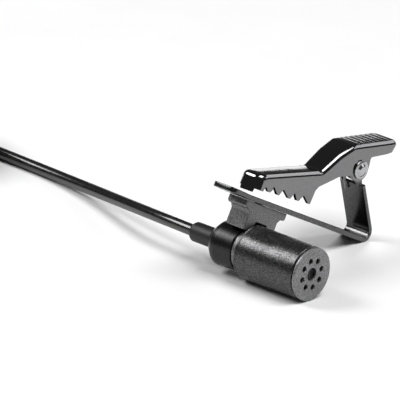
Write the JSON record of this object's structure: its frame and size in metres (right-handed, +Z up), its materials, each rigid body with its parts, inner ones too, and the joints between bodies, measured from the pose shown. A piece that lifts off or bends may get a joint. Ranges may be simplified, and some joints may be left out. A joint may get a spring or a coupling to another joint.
{
  "type": "lavalier microphone",
  "caption": "Small cylindrical clip-on microphone in a ring holder on a toothed spring clip, with a thin cable and a 3.5 mm plug.",
  "frame": {"origin": "bottom centre of the microphone and clip, without the cable and plug, as they rest on a surface on the barrel and the clip's bend", "axes": "+X along the barrel towards the grille, +Y from the barrel towards the clip's bend, +Z up"},
  "size_m": [0.1002, 0.0639, 0.0163],
  "materials": {
    "barrel_black": "fine bead-blasted black anodising",
    "grille_black": "grainy blasted black",
    "acoustic_cloth": "fine black cloth",
    "soft_rubber": "matt",
    "capsule_can": "bright drawn can",
    "board_green": "solder mask",
    "wire_red": "thin insulation",
    "wire_white": "thin insulation",
    "neck_black": "turned, black",
    "housing_black": "smooth satin black",
    "crimp_brass": "turned",
    "boot_rubber": "matt moulded rubber",
    "cable_jacket": "satin jacket",
    "tie_fabric": "woven hook-and-loop strap",
    "holder_grey": "grainy satin dark grey",
    "rivet_steel": "darkened steel",
    "jaw_steel": "black chrome",
    "pin_steel": "polished dark steel",
    "spring_steel": "spring wire",
    "plug_rubber": "matt moulded rubber",
    "plug_black": "satin black",
    "contact_gold": "gold plated",
    "insulator_black": "moulded"
  },
  "bodies": {
    "microphone": {"barrel": "barrel_black", "grille_cap": "grille_black", "acoustic_mesh": "acoustic_cloth", "capsule_sleeve": "soft_rubber", "electret_capsule": "capsule_can", "capsule_board": "board_green", "signal_wire": "wire_red", "ground_wire": "wire_white", "neck_collar": "neck_black", "rear_housing": "housing_black", "crimp_sleeve": "crimp_brass", "cable_boot": "boot_rubber", "cable_end": "cable_jacket", "cable_run": "cable_jacket", "cable_coil": "cable_jacket", "cable_tail": "cable_jacket", "coil_tie": "tie_fabric", "plug_relief": "plug_rubber", "plug_shell": "plug_black", "plug_sleeve_contact": "contact_gold", "plug_ring_contact": "contact_gold", "plug_tip_contact": "contact_gold", "plug_insulator_rear": "insulator_black", "plug_insulator_front": "insulator_black"},
    "holder": {"mic_holder": "holder_grey", "swivel_rivet": "rivet_steel"},
    "lower_jaw": {"lower_jaw": "jaw_steel", "hinge_pin": "pin_steel", "torsion_spring": "spring_steel"},
    "upper_jaw": {"upper_jaw": "jaw_steel"}
  },
  "joints": [
    {"name": "mic_turn", "type": "hinge", "parent": "microphone", "child": "holder", "pos_m": [-0.001, -0.01298, 0.00418], "axis": [1, 0, 0], "range_deg": [0, 80]},
    {"name": "clip_swivel", "type": "hinge", "parent": "holder", "child": "lower_jaw", "pos_m": [-0.0022, -0.00974, 0.01097], "axis": [0, 0.4305, 0.9026], "continuous": true},
    {"name": "jaw_open", "type": "hinge", "parent": "lower_jaw", "child": "upper_jaw", "pos_m": [-0.0022, 0.01009, 0.01224], "axis": [-1, 0, 0], "range_deg": [0, 30], "stiffness_Nm_per_rad": 0.04, "springref_deg": -20.05, "deforming": ["torsion_spring"]}
  ]
}
